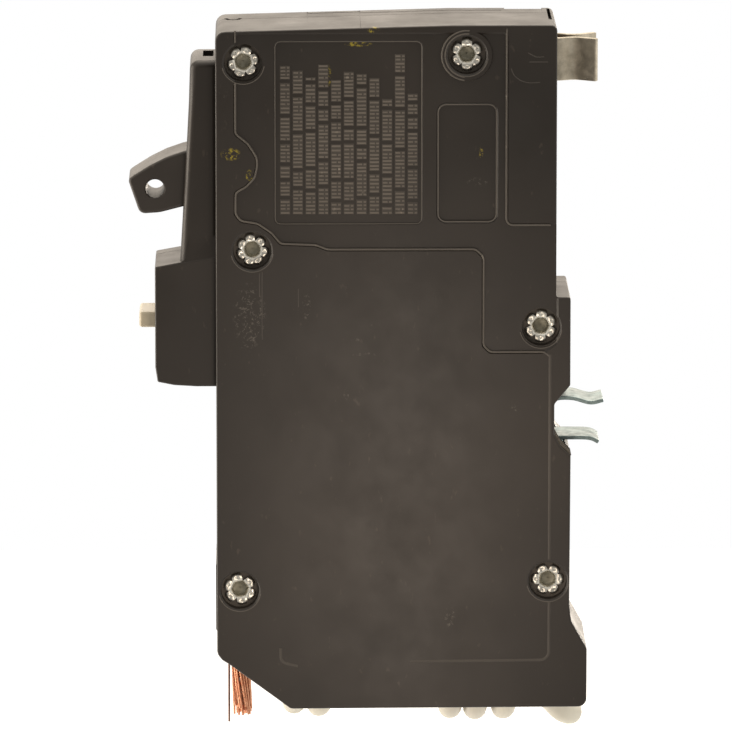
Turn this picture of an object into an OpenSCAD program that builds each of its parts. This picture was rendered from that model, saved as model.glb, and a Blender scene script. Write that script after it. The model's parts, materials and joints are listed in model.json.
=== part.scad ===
// Single-pole plug-on circuit breaker with ground-fault protection.
// Frame: +X towards the panel's back, +Z towards the line end, Y through the thickness.
// Origin: in the gap of the mounting rail clip, on the case's back plane, mid-thickness.

/* [Case] */
// Thickness of the case, one 3/4 inch pole
case_t = 19.05; // [18.6:0.05:19.4]
// Height of the line end above the rail clip
case_top = 60.95; // [60:0.05:61.5]
// Wall thickness of the moldings
wall = 1.6; // [1.3:0.1:1.8]
// Depth of the recessed panels in the big side face
relief = 0.3; // [0.2:0.05:0.5]
// Where the near molding meets the far molding, across the thickness
seam_y = 3.9; // [3.5:0.1:4.3]

/* [Nose and button block] */
// Width of the nose that carries the handle
nose_w = 13.4; // [13:0.1:14]
// Width of the block that carries the test button
block_w = 15.2; // [14.8:0.1:15.6]
// Width of the test button
button_w = 8.3; // [7.5:0.1:8.6]
// Height of the test button
button_h = 2.4; // [2:0.1:2.6]

/* [Handle] */
// Width of the handle
handle_w = 9.6; // [9:0.1:9.8]
// Radius of the handle's drum
drum_r = 6.9; // [6.6:0.1:7]
// Radius of the tie-bar hole through the handle
tie_r = 1.4; // [1.2:0.1:1.5]

/* [Rivets] */
// Radius of a rivet's shank
rivet_r = 1.5; // [1.4:0.05:1.6]
// Radius of a rivet's rolled head
rivet_head_r = 2.35; // [2.2:0.05:2.4]
// Radius of the counterbore around each head
counterbore_r = 2.9; // [2.8:0.05:3]
// Depth of the counterbores
counterbore_d = 2; // [1.8:0.1:2.6]

/* [Terminals] */
// Distance of each terminal from the middle of the thickness
terminal_y = 4.1; // [4:0.05:4.2]
// Radius of the wire entries in the load end
wire_r = 2.7; // [2.5:0.1:2.8]
// Radius of the screwdriver holes in the front
driver_r = 3; // [2.9:0.05:3.1]
// Radius of a terminal screw's head
screw_head_r = 2.7; // [2.5:0.1:2.75]

/* [Rail clip and jaw] */
// Sheet thickness of the rail clip
clip_t = 0.6; // [0.5:0.05:0.8]
// Width of the rail clip
clip_w = 7.6; // [7:0.1:8.4]
// Height of the jaw leaves
jaw_h = 6.5; // [6:0.1:6.8]

/* [Pigtail] */
// Diameter of the insulated wire
wire_d = 3.6; // [3.4:0.1:3.8]
// Radius of the factory coil at the middle of the wire
coil_r = 12.5; // [12:0.1:13]

/* [Hidden] */
$fn = 48;
half_t = case_t / 2;
inner_y = half_t - wall;
fit = 0.05;
gap = 0.3;
eps = 0.01;

rivet_xz = [
  [-47.3, 55.3], [-13.6, 56.4], [-46, 26.6],
  [-2.3, 14.8], [-48, -25.9], [-1.1, -24.5]];
boss_r = 3.6;

// Where things turn or slide, as X and Z
pivot = [-49, 39.3];
tie_at = [-60.7, 35.4];
arm_pivot = [-38.5, 40];
cradle_pivot = [-36, 27.5];
armature_pivot = [-18.9, 31];
plunger_x = -31;
button_z = 15.1;

// Pin radii
handle_pin_r = 1.5;
arm_pin_r = 1;
cradle_pin_r = 1.2;
armature_pin_r = 0.9;

// Contacts, jaw and arc chute
contact_x = -16.5;
contact_r = 1.4;
contact_seat_z = 39.3;
jaw_z = 51.7;
plate_pitch = 2.1;

// Terminals at the load end
terminal_z = -18.5;
screw_r = 1.75;
chamfer_angle = 36.5;
entry = [-46.2, -39.5];

// Ring transformers and the straps that run through them
ring_x = -14;
ring_r = 6.6;
ring_bore_r = 3.4;
strap_z = [-14.3, -13.2];

// Solenoid
coil_z_span = [-11.2, -2];
solenoid_bore_r = 1.75;
plunger_r = 1.4;

// Rubber grommet and the hole it fills
grommet_r = 2.6;
grommet_l = 4;

// The coil's axis runs along X, behind the lower case.
coil_y = half_t + 0.45 + wire_d / 2 + coil_r;
coil_z = -39.8;
coil_x = [-41.6, 4.5];

// Points along the middle of the two stretches of pigtail that aren't coiled.
lead_route = [
  [-4.2, 8.2, -44.8], [-3.2, 10.2, -46], [-2.1, 12.6, -47.6],
  [-0.8, 15.3, -49.3], [0.4, 18.2, -50.8]];
tail_route = [
  [-41.4, 35.2, -46], [-42.4, 36.9, -39.8], [-43.4, 35.2, -33.5], [-44.4, 30.6, -28.9],
  [-45.4, 24.4, -27.2], [-46.4, 18.2, -28.9], [-47.4, 13.6, -33.3], [-48.2, 11.9, -38.7]];

// ---- Shared shapes ----

// Extrudes an outline drawn in X and Z from y0 to y1.
module xz(y0, y1) {
  translate([0, y1, 0]) rotate([90, 0, 0]) linear_extrude(y1 - y0) children();
}

// A box given by its lowest and highest corners.
module span(low, high) {
  translate(low) cube(high - low);
}

// A cylinder along Y, placed by its X and Z.
module pin_y(at, r, y0, y1) {
  translate([at[0], y0, at[1]]) rotate([-90, 0, 0]) cylinder(r = r, h = y1 - y0);
}

// A cylinder along X, placed by its Y and Z.
module pin_x(x0, x1, y, z, r) {
  translate([x0, y, z]) rotate([0, 90, 0]) cylinder(r = r, h = x1 - x0);
}

module case_outline() {
  polygon([
    [-16, case_top], [-50, case_top - 0.9], [-51.5, case_top - 2.3],
    [-51.5, -35.6], [-50.8, -36.7], [-49.7, -37.4], [-42.8, -42.5], [-40.3, -44.4],
    [3.6, -44.2], [4.9, -42.9], [4.9, -35.2], [4.5, -34.4], [2.5, -30.8], [2.2, -28.2],
    [2.3, -5], [0.7, -3.4], [-0.2, -1.8], [-0.2, 2.9], [2.2, 5.8], [2.2, 19.4], [0, 19.4],
    [0, case_top - 1], [-1, case_top]]);
}

module cavity_outline() {
  polygon([
    [-49.8, 58.2], [-49.8, -35.1], [-41.8, -41.1], [-40, -42.5],
    [2.9, -42.5], [2.9, -35.6], [0.5, -31.2], [0.5, -5.8], [-1.8, -3], [-1.8, 3.6],
    [-1.8, case_top - wall], [-17, case_top - wall]]);
}

module nose_outline() {
  polygon([
    [-51.4, 55.2], [-54.3, 55.2], [-55.3, 54.2], [-55.5, 49], [-55.9, 41],
    [-56.4, 32], [-56.9, 25], [-51.4, 25]]);
}

module nose_cavity_outline() {
  polygon([
    [-49.5, 53.8], [-53.9, 53.8], [-54.1, 49], [-54.5, 41], [-55, 32], [-55.4, 25.5], [-49.5, 25.5]]);
}

module block_outline() {
  polygon([
    [-51.4, 25.5], [-60.75, 23.8], [-60.75, 8.4], [-60.4, 6.1], [-57.9, 5.5], [-51.4, 5.4]]);
}

module block_cavity_outline() {
  polygon([
    [-49.5, 24], [-59.2, 22.5], [-59.2, 8.4], [-58.9, 7.1], [-57.8, 6.9], [-49.5, 6.8]]);
}

// The outer body of both moldings, between two heights across the thickness.
module case_mass(y0, y1) {
  xz(y0, y1) case_outline();
  xz(max(y0, -nose_w / 2), min(y1, nose_w / 2)) nose_outline();
  xz(max(y0, -block_w / 2), min(y1, block_w / 2)) block_outline();
}

// Every hollow that the two moldings share.
module case_hollows() {
  nose_y = nose_w / 2 - 1.2;
  block_y = block_w / 2 - 1.4;
  xz(-inner_y, inner_y) cavity_outline();
  xz(-nose_y, nose_y) nose_cavity_outline();
  xz(-block_y, block_y) block_cavity_outline();
  // handle slot
  span([-60, -handle_w / 2 - gap, 31.7], [-49, handle_w / 2 + gap, 47.4]);
  // test-button slot
  span([-62, -button_w / 2 - gap / 2, button_z - button_h / 2 - gap / 2],
       [-58, button_w / 2 + gap / 2, button_z + button_h / 2 + gap / 2]);
  // stab opening around the line jaw
  span([-3, -3.9, 50.9], [1, 3.9, 58.7]);
  // rail clip slots, above and below the clip's gap
  span([-3, -clip_w / 2 - 0.2, 1.3], [3, clip_w / 2 + 0.2, 3.6]);
  span([-3, -clip_w / 2 - 0.2, -7.1], [1.7, clip_w / 2 + 0.2, -2.6]);
  // screwdriver holes and wire entries
  for (side = [-1, 1]) {
    pin_x(-53, -48, side * terminal_y, terminal_z, driver_r);
    wire_entry(side * terminal_y, wire_r, -6, 2);
  }
  // small latch window in the nose's top
  span([-53.4, -1.6, 53], [-51.8, 4.2, 56]);
}

// A cylinder square to the chamfered load-end face.
module wire_entry(y, r, inward, outward) {
  translate([entry[0], y, entry[1]])
    rotate([0, 180 + chamfer_angle, 0])
      translate([0, 0, inward]) cylinder(r = r, h = outward - inward);
}

// Bosses for the rivets and the pins, in one molding.
module case_bosses(y0, y1) {
  intersection() {
    for (at = rivet_xz) pin_y(at, boss_r, y0, y1);
    xz(y0, y1) case_outline();
  }
}

module entry_guides(y0, y1) {
  intersection() {
    for (side = [-1, 1]) wire_entry(side * terminal_y, wire_r + 1, -3.8, -0.8);
    xz(y0, y1) case_outline();
  }
}

module front_pad(y0, y1) {
  xz(y0, y1) polygon([[-51.4, -21.5], [-51.65, -22.3], [-51.65, -32.2], [-51.4, -33]]);
}

module wire_and_rivet_bores() {
  for (side = [-1, 1]) {
    wire_entry(side * terminal_y, wire_r, -6, 2);
    pin_x(-53, -48, side * terminal_y, terminal_z, driver_r);
  }
  for (at = rivet_xz) pin_y(at, rivet_r + fit, -20, 20);
}

// The recessed field of the big side face.
module recess_outline() {
  difference() {
    polygon([
      [-48.5, 59.6], [-48.5, 44.5], [-46.6, 43], [-45.3, 40.9], [-45.2, 39.6], [-45.6, 37.8],
      [-46.9, 36.4], [-48.5, 35.5], [-48.5, 32.2], [-47.7, 31.2], [-45.2, 30.8],
      [-43.1, 29.4], [-41.6, 27.7], [-34.6, 26.8], [-12.2, 26.8], [-11, 25.6], [-11, 12],
      [-10, 11], [-1.8, 11], [-0.6, 19.6], [-0.6, 30.5], [-7, 30.5], [-7.6, 31.1], [-7.6, 59.6]]);
    for (i = [0, 1]) translate(rivet_xz[i]) circle(r = boss_r + 0.2);
  }
}

// ---- Case ----

module case_base() {
  color([0.23, 0.21, 0.19]) difference() {
    union() {
      difference() {
        case_mass(-half_t, seam_y);
        case_hollows();
      }
      case_bosses(-half_t + wall / 2, seam_y);
      entry_guides(-inner_y - eps, seam_y);
      front_pad(-half_t + 1.6, seam_y);
    }
    wire_and_rivet_bores();
    for (at = rivet_xz) pin_y(at, counterbore_r, -half_t - 1, -half_t + counterbore_d);
    xz(-half_t - 1, -half_t + relief) recess_outline();
    grommet_shape(grommet_r + fit, -8, 4);
  }
}

module case_cover() {
  color([0.21, 0.19, 0.17]) difference() {
    union() {
      difference() {
        case_mass(seam_y, half_t);
        case_hollows();
      }
      case_bosses(seam_y, half_t - wall / 2);
      entry_guides(seam_y, inner_y + eps);
      front_pad(seam_y, half_t - 1.6);
    }
    wire_and_rivet_bores();
    for (at = rivet_xz) pin_y(at, counterbore_r, half_t - 1.1, half_t + 1);
    grommet_shape(grommet_r + fit, -8, 4);
  }
}

module barrier_wall() {
  color([0.55, 0.5, 0.42]) difference() {
    span([-49.6, -inner_y + gap, 8.4], [-6.6, inner_y - gap, 9.6]);
    translate([plunger_x, 0, 5]) cylinder(r = 1.9, h = 8);
    span([ring_x - 1.5, -3, 5], [ring_x + 1.5, 3, 12]);
  }
}

module rivets() {
  color([0.75, 0.74, 0.7]) for (at = rivet_xz) difference() {
    union() {
      pin_y(at, rivet_r, -half_t + counterbore_d - 0.9, half_t - 0.5);
      pin_y(at, rivet_head_r, -half_t + counterbore_d - 0.9, -half_t + counterbore_d);
      pin_y(at, rivet_head_r, half_t - 1.1, half_t - 0.3);
    }
    pin_y(at, 1.05, -half_t, -half_t + counterbore_d + 3);
  }
}

// ---- Handle and contact mechanism ----

module handle() {
  color([0.19, 0.17, 0.15]) difference() {
    union() {
      pin_y(pivot, drum_r, -handle_w / 2, handle_w / 2);
      xz(-handle_w / 2, handle_w / 2) polygon([
        [-50, 41.7], [-56.1, 41.2], [-59, 40.2], [-61.4, 39], [-63.8, 37.5], [-64.8, 36.9],
        [-63.3, 32], [-62.7, 31.5], [-60, 31.7], [-56.5, 32.6], [-50, 34.7]]);
    }
    pin_y(pivot, handle_pin_r + fit, -10, 10);
    pin_y(tie_at, tie_r, -10, 10);
  }
}

module handle_pin() {
  color([0.7, 0.7, 0.68]) pin_y(pivot, handle_pin_r, -nose_w / 2 + 1.2, nose_w / 2 - 1.2);
}

module cradle() {
  color([0.62, 0.6, 0.52]) difference() {
    union() {
      xz(1.7, 2.9) polygon([
        [-38, 28.4], [-37, 25.5], [-33, 25.6], [-27, 23.4], [-21.4, 23.2], [-20.4, 24.2],
        [-20.6, 26], [-26, 27], [-29, 30.4], [-31.4, 30.6], [-34, 29.6]]);
      pin_y([-30, 28.6], 0.8, -1.2, 1.8);
    }
    pin_y(cradle_pivot, cradle_pin_r + fit, -10, 10);
  }
}

module cradle_pin() {
  color([0.7, 0.7, 0.68]) pin_y(cradle_pivot, cradle_pin_r, -inner_y, inner_y);
}

// A close-wound spring along Z, drawn as its outer sleeve.
module sleeve_z(x, y, z0, z1, r, bore_r) {
  translate([x, y, z0]) difference() {
    cylinder(r = r, h = z1 - z0);
    translate([0, 0, -1]) cylinder(r = bore_r, h = z1 - z0 + 2);
  }
}

module toggle_spring() {
  color([0.75, 0.75, 0.73]) sleeve_z(-30, -0.1, 29.5, 37, 1.1, 0.6);
}

module contact_arm() {
  color([0.72, 0.45, 0.28]) difference() {
    xz(-1.2, 1.2) polygon([
      [-40.6, 38.6], [-39.4, 37.9], [-36, 38], [-17.6, 37.6], [-14.9, 37.9],
      [-14.9, contact_seat_z], [-18.1, contact_seat_z], [-18.6, 39.8],
      [-34, 41.6], [-38, 42.2], [-40, 41.6]]);
    pin_y(arm_pivot, arm_pin_r + fit, -10, 10);
  }
}

module moving_contact() {
  color([0.82, 0.8, 0.76])
    translate([contact_x, 0, contact_seat_z]) cylinder(r = contact_r, h = 0.9);
}

module arm_pin() {
  color([0.7, 0.7, 0.68]) pin_y(arm_pivot, arm_pin_r, -inner_y, inner_y);
}

module fixed_contact() {
  color([0.82, 0.8, 0.76])
    translate([contact_x - 1.2, 0, 49.3]) cylinder(r = contact_r + 0.3, h = 0.9);
}

module line_strap() {
  color([0.75, 0.5, 0.33]) {
    span([-20, -2.6, 50.2], [-3, 2.6, 51.4]);
    span([-7, -2.1, 51.3], [-4, 2.1, 57.5]);
  }
}

// One leaf of the line jaw; side is -1 for the near leaf and 1 for the far one.
module jaw_leaf(side) {
  color([0.66, 0.62, 0.54]) mirror([0, side < 0 ? 1 : 0, 0])
    translate([0, 0, jaw_z]) linear_extrude(jaw_h) polygon([
      [-7, 2.1], [-1.5, 2.1], [0.5, 1.9], [2.4, 1.1], [3.2, 1.1], [4.4, 1.7], [6.2, 2.9],
      [6.2, 3.7], [4.3, 2.5], [3.1, 1.9], [2.5, 1.9], [0.6, 2.7], [-1.4, 2.9], [-7, 2.9]]);
}

module line_jaw_near() {
  jaw_leaf(-1);
}

module line_jaw_far() {
  jaw_leaf(1);
}

module jaw_spring() {
  color([0.6, 0.6, 0.6]) {
    for (side = [-1, 1])
      span([-7.9, side * 3.2 - 0.3, 52.5], [-2, side * 3.2 + 0.3, 57]);
    span([-7.9, -3.4, 52.5], [-7, 3.4, 57]);
  }
}

module arc_plates() {
  color([0.5, 0.5, 0.5]) for (i = [0:5]) difference() {
    span([-14.2, -5.4, 37 + i * plate_pitch], [-4.2, 5.4, 37.9 + i * plate_pitch]);
    span([-15, -1.6, 36 + i * plate_pitch], [-10.4, 1.6, 39 + i * plate_pitch]);
  }
}

module arc_holder() {
  color([0.6, 0.42, 0.3]) {
    for (side = [-1, 1])
      span([-14.6, side * 5.8 - 0.4, 35.6], [-3.4, side * 5.8 + 0.4, 49.9]);
    span([-4.2, -6.2, 35.6], [-3.4, 6.2, 49.9]);
  }
}

// ---- Thermal and magnetic trip ----

module bimetal() {
  color([0.68, 0.62, 0.5]) span([-14.2, -2.6, 11], [-13.4, 2.6, 35]);
}

module calibration_screw() {
  color([0.8, 0.68, 0.4]) difference() {
    union() {
      pin_x(-13.4, -8, 0, 13.4, 1.3);
      pin_x(-8, -6.8, 0, 13.4, 2.2);
    }
    span([-7.3, -0.3, 10], [-6, 0.3, 17]);
  }
}

module magnet_yoke() {
  color([0.45, 0.44, 0.42]) difference() {
    span([-16.4, -4.6, 17], [-11.4, 4.6, 28]);
    span([-17, -3, 16], [-12.8, 3, 29]);
  }
}

module armature() {
  color([0.5, 0.48, 0.45]) difference() {
    union() {
      span([-19.4, -3.5, 15], [-18.5, 3.5, 30.5]);
      pin_y(armature_pivot, 2 * armature_pin_r, -3.5, 3.5);
    }
    pin_y(armature_pivot, armature_pin_r + fit, -10, 10);
  }
}

module armature_pin() {
  color([0.7, 0.7, 0.68]) pin_y(armature_pivot, armature_pin_r, -inner_y, inner_y);
}

module armature_spring() {
  color([0.75, 0.75, 0.73]) difference() {
    pin_x(-24, -19.8, 0, 18, 1.2);
    pin_x(-25, -19, 0, 18, 0.7);
  }
}

module arm_braid() {
  color([0.78, 0.42, 0.26]) xz(-1.1, 1.1) polygon([
    [-14.2, 34.6], [-16, 35.4], [-20, 35.8], [-24, 36.6], [-25.8, 37.4], [-25.8, 36],
    [-24, 35], [-20, 34.2], [-16, 33.8], [-14.2, 33]]);
}

// ---- Conductors and terminals ----

// A strap down through the transformers and along to the terminals.
module strap_path(y0, y1, top_z) {
  span([ring_x - 0.6, y0, strap_z[1]], [ring_x + 0.6, y1, top_z]);
  span([-43, y0, strap_z[0]], [ring_x + 0.6, y1, strap_z[1]]);
}

module load_strap() {
  color([0.76, 0.5, 0.33]) {
    strap_path(-2.2, -0.6, 11);
    span([-43, -6, strap_z[0]], [-37, -0.6, strap_z[1]]);
  }
}

module neutral_strap() {
  color([0.76, 0.5, 0.33]) {
    strap_path(0.6, 2.2, 7);
    span([-43, 0.6, strap_z[0]], [-37, 6, strap_z[1]]);
  }
}

module box_lug(y) {
  color([0.75, 0.74, 0.7]) difference() {
    span([-44.2, y - 3.5, -22.6], [-34.6, y + 3.5, -14.4]);
    span([-42.6, y - 2.6, -24], [-36.2, y + 2.6, -13]);
    pin_x(-46, -42, y, terminal_z, screw_r + fit);
  }
}

module terminal_screw(y) {
  color([0.78, 0.77, 0.74]) difference() {
    union() {
      pin_x(-49.5, -47.6, y, terminal_z, screw_head_r);
      pin_x(-47.7, -42.55, y, terminal_z, screw_r);
    }
    span([-50, y - 0.4, terminal_z - 5], [-48.7, y + 0.4, terminal_z + 5]);
  }
}

module pressure_plate(y) {
  color([0.7, 0.69, 0.66])
    span([-42.5, y - 2.3, -21.4], [-41.6, y + 2.3, -15.6]);
}

module load_lug() {
  box_lug(-terminal_y);
}

module neutral_lug() {
  box_lug(terminal_y);
}

module load_screw() {
  terminal_screw(-terminal_y);
}

module neutral_screw() {
  terminal_screw(terminal_y);
}

module load_plate() {
  pressure_plate(-terminal_y);
}

module neutral_plate() {
  pressure_plate(terminal_y);
}

// ---- Ground-fault electronics ----

module ring_transformer(z0, z1) {
  translate([ring_x, 0, z0]) difference() {
    cylinder(r = ring_r, h = z1 - z0);
    translate([0, 0, -1]) cylinder(r = ring_bore_r, h = z1 - z0 + 2);
  }
}

module sense_transformer() {
  color([0.25, 0.35, 0.3]) ring_transformer(-3.4, 2.4);
}

module ground_transformer() {
  color([0.3, 0.3, 0.38]) ring_transformer(-10.4, -4.6);
}

module solenoid_frame() {
  color([0.6, 0.6, 0.6]) difference() {
    span([plunger_x - 5.6, -4.5, -12.2], [plunger_x + 5.6, 4.5, -1]);
    span([plunger_x - 4.6, -5, coil_z_span[0]], [plunger_x + 4.6, 5, coil_z_span[1]]);
    translate([plunger_x, 0, -3]) cylinder(r = plunger_r + gap, h = 4);
  }
}

module solenoid_coil() {
  color([0.7, 0.38, 0.2])
    sleeve_z(plunger_x, 0, coil_z_span[0], coil_z_span[1], 4.4, solenoid_bore_r);
}

module plunger() {
  color([0.7, 0.7, 0.7]) translate([plunger_x, 0, 0]) {
    translate([0, 0, -9]) cylinder(r = plunger_r, h = 21);
    translate([0, 0, 4]) cylinder(r = 2.4, h = 1);
  }
}

module plunger_spring() {
  color([0.75, 0.75, 0.73]) sleeve_z(plunger_x, 0, -1, 4, 2.2, solenoid_bore_r);
}

module circuit_board() {
  color([0.16, 0.36, 0.22]) span([-34, 5.6, -39.6], [-6, 7, -17.5]);
}

module control_chip() {
  color([0.12, 0.12, 0.12]) span([-33, 3.8, -28], [-24, 5.6, -21.6]);
}

module thyristor() {
  color([0.15, 0.15, 0.15]) span([-20, 1.6, -27], [-15.6, 5.6, -22]);
}

module varistor() {
  color([0.2, 0.35, 0.6]) pin_y([-11.4, -33.4], 4.2, 2.2, 5.6);
}

module filter_capacitor() {
  color([0.2, 0.25, 0.5]) pin_y([-30, -34.4], 3.2, -1.6, 5.6);
}

module resistors() {
  color([0.75, 0.66, 0.5]) for (i = [0:2])
    pin_x(-25, -18.5, 4.4, -31 - i * 3, 1.1);
}

module diodes() {
  color([0.2, 0.2, 0.2]) for (i = [0:1])
    pin_x(-12.5, -8.5, 4.4, -21 - i * 3.4, 1.1);
}

module test_button() {
  color([0.82, 0.77, 0.66]) {
    span([-63.2, -button_w / 2, button_z - button_h / 2],
         [-58, button_w / 2, button_z + button_h / 2]);
    span([-58.9, -5, 13], [-57.7, 5, 17.2]);
  }
}

module test_leaf() {
  color([0.78, 0.62, 0.36]) {
    span([-55.7, -3, 10], [-55.3, 3, 19]);
    span([-55.7, -3, 10], [-51, 3, 10.4]);
  }
}

module test_post() {
  color([0.72, 0.7, 0.64]) {
    span([-54.6, -1, 19.6], [-50, 1, 20.6]);
    span([-54.6, -1, 17.4], [-54, 1, 20.6]);
  }
}

// ---- Mounting ----

module rail_clip() {
  color([0.76, 0.78, 0.73]) xz(-clip_w / 2, clip_w / 2) {
    // upper prong, arched, with its lip flared up a little at the tip
    polygon([
      [-2.7, 1.9], [-0.5, 2.1], [1, 2.45], [3, 2.37], [5.5, 1.72], [7.5, 2.1],
      [7.4, 2.1 + clip_t], [5.5, 1.72 + clip_t], [3, 2.37 + clip_t], [1, 2.45 + clip_t],
      [-0.6, 2.1 + clip_t], [-2.7, 1.9 + clip_t]]);
    // lower prong, with its lip turned down at the tip
    polygon([
      [-2.7, -3.1], [4.6, -3.1], [6.2, -3.3], [6.95, -3.85], [6.6, -4.3], [5.9, -3.85],
      [4.6, -3.1 - clip_t], [-2.7, -3.1 - clip_t]]);
    // web behind the case wall
    polygon([[-3.3, -6.7], [-2.5, -6.7], [-2.5, 1.9 + clip_t], [-3.3, 1.9 + clip_t]]);
    // short leg under the lower prong
    polygon([[-2.7, -6.7], [0.4, -6.1], [1.5, -3.6], [0.7, -3.6], [-0.2, -5.5], [-2.7, -6]]);
  }
}

// ---- Pigtail ----

// A cylinder along the pigtail's way out of the case.
module grommet_shape(r, back, forward) {
  translate(lead_route[0]) rotate([0, 0, 66]) rotate([0, 118, 0])
    translate([0, 0, back]) cylinder(r = r, h = forward - back);
}

module pigtail_grommet() {
  color([0.15, 0.14, 0.13]) grommet_shape(grommet_r, -grommet_l, 0);
}

function unit(v) = v / norm(v);
function heading(p, i) = unit(p[min(i + 1, len(p) - 1)] - p[max(i - 1, 0)]);
function side_of(d) = unit(cross(d, abs(d[2]) > 0.9 ? [0, 1, 0] : [0, 0, 1]));
function ring(p, i, r, n) =
  let (d = heading(p, i), a = side_of(d), b = cross(d, a))
    [for (k = [0:n - 1]) p[i] + r * (cos(360 * k / n) * a + sin(360 * k / n) * b)];

// A tube swept along a route, one ring of n corners at each point.
module tube(p, r, n) {
  rings = len(p);
  polyhedron(
    points = [for (i = [0:rings - 1]) each ring(p, i, r, n)],
    faces = concat(
      [[for (k = [0:n - 1]) k]],
      [[for (k = [n - 1:-1:0]) (rings - 1) * n + k]],
      [for (i = [0:rings - 2]) for (k = [0:n - 1])
        [i * n + k, (i + 1) * n + k, (i + 1) * n + (k + 1) % n, i * n + (k + 1) % n]]));
}

module pigtail_lead() {
  color([0.86, 0.83, 0.76]) tube(lead_route, wire_d / 2 - 0.05, 8);
}

module pigtail_coil() {
  color([0.86, 0.83, 0.76])
    translate([coil_x[0], coil_y, coil_z]) rotate([0, 90, 0])
      rotate_extrude() translate([coil_r - wire_d / 2, 0])
        square([wire_d, coil_x[1] - coil_x[0]]);
}

module pigtail_tail() {
  color([0.86, 0.83, 0.76]) tube(tail_route, wire_d / 2 - 0.05, 8);
}

module pigtail_strands() {
  color([0.8, 0.42, 0.25]) translate([-48.2, 11.9, -51.4]) cylinder(r = 1.8, h = 12.7);
}

case_base();
case_cover();
barrier_wall();
rivets();
handle();
handle_pin();
cradle();
cradle_pin();
toggle_spring();
contact_arm();
moving_contact();
arm_pin();
fixed_contact();
line_strap();
line_jaw_near();
line_jaw_far();
jaw_spring();
arc_plates();
arc_holder();
bimetal();
calibration_screw();
magnet_yoke();
armature();
armature_pin();
armature_spring();
arm_braid();
load_strap();
neutral_strap();
load_lug();
load_screw();
load_plate();
neutral_lug();
neutral_screw();
neutral_plate();
sense_transformer();
ground_transformer();
solenoid_frame();
solenoid_coil();
plunger();
plunger_spring();
circuit_board();
control_chip();
thyristor();
varistor();
filter_capacitor();
resistors();
diodes();
test_button();
test_leaf();
test_post();
rail_clip();
pigtail_grommet();
pigtail_lead();
pigtail_coil();
pigtail_tail();
pigtail_strands();
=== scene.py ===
"""A plug-on circuit breaker with ground-fault protection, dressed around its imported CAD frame.

Everything is in metres, in the CAD frame: +X to the panel's back, +Z to the line end,
and -Y towards the side that carries the molded relief. Outlines are written in millimetres.
"""
import json
import math
import random
from contextlib import contextmanager

import bmesh
import bpy
from mathutils import Matrix, Vector


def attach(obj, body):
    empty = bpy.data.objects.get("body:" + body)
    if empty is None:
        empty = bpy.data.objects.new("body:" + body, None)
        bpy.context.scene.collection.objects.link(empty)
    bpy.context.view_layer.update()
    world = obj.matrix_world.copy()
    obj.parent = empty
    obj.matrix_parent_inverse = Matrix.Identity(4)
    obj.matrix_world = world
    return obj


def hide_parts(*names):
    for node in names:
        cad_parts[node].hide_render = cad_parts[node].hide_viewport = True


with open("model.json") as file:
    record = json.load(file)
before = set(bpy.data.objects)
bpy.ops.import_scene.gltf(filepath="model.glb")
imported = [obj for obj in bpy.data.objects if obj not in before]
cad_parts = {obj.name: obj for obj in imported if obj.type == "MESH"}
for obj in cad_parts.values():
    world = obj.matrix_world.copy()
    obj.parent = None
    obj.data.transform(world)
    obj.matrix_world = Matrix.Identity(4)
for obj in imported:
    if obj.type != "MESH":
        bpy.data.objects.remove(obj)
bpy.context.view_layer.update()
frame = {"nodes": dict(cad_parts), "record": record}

MM = 0.001

# The case, in millimetres: its half thickness, the seam between the two moldings and its walls.
HALF_T = 9.525
SEAM_Y = 3.9
WALL = 1.6
INNER_Y = HALF_T - WALL
CASE_TOP = 60.95
NOSE_HALF = 6.7
BLOCK_HALF = 7.6
RECESS_DEPTH = 0.3
NOTICE_DEPTH = 0.16
COUNTERBORE_R = 2.84
BORE_R = 1.55
RIVETS = [(-47.3, 55.3), (-13.6, 56.4), (-46, 26.6), (-2.3, 14.8), (-48, -25.9), (-1.1, -24.5)]
HANDLE_PIVOT = (-49, 39.3)
TIE_HOLE = (-60.7, 35.4)
TERMINAL_Y = 4.1
TERMINAL_Z = -18.5

# Marks on the near face: middle x and z, half size in x and z.
CRAYON_MARKS = [
    (-27.6, 60.3, 0.9, 0.5), (-30, 58.1, 2, 0.4), (-34.6, 53.3, 0.7, 1.6), (-49.2, 41.4, 1.4, 0.9),
    (-46.4, 38, 0.5, 1), (-11.5, 41.5, 0.4, 0.8)]
SCUFF_MARKS = [
    (-46.4, 16.5, 2.4, 5), (-37.8, 18.1, 0.6, 2), (-31, 12.9, 1.6, 0.25), (-29, 10.6, 1.7, 0.4),
    (-31.8, 4.6, 0.4, 0.9), (-28, 15.4, 0.25, 0.25), (-50.3, 50.2, 0.7, 1.2), (-12, 37, 1.6, 0.7),
    (-6, 2.4, 0.8, 0.5), (-16, -30, 0.8, 1.6), (-26.5, -12, 0.3, 0.5)]
CRAYON_COLOUR = (0.32, 0.25, 0.02)
SCUFF_COLOUR = (0.1, 0.088, 0.072)

# Light colours, then each light: name, place, aim, size, power, colour, seen by the camera.
WARM = (1, 0.88, 0.74)
WARMER = (1, 0.84, 0.66)
SOFT_PINK = (1, 0.84, 0.7)
LIGHTS = [
    ("top_softbox", (0.1, 0.25, 0.9), (-0.03, 0, 0), (0.9, 0.7), 5, WARM, True),
    ("back_softbox", (0, 1.1, 0.4), (-0.03, 0, 0), (1.6, 0.6), 3.6, WARMER, True),
    ("left_softbox", (-0.9, 0, -0.1), (-0.05, 0, 0), (0.4, 0.9), 7, WARM, True),
    ("front_glow", (-0.024, -0.095, -0.03), (-0.024, 0, -0.03), (0.03, 0.08), 0.025, SOFT_PINK,
     False),
    ("back_low", (0.2, 1.2, -0.12), (0, 0, -0.03), (0.3, 0.2), 1.4, WARM, False)]
FLOOR_Z = -0.32


# ---- Camera, floor and light ----

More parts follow.
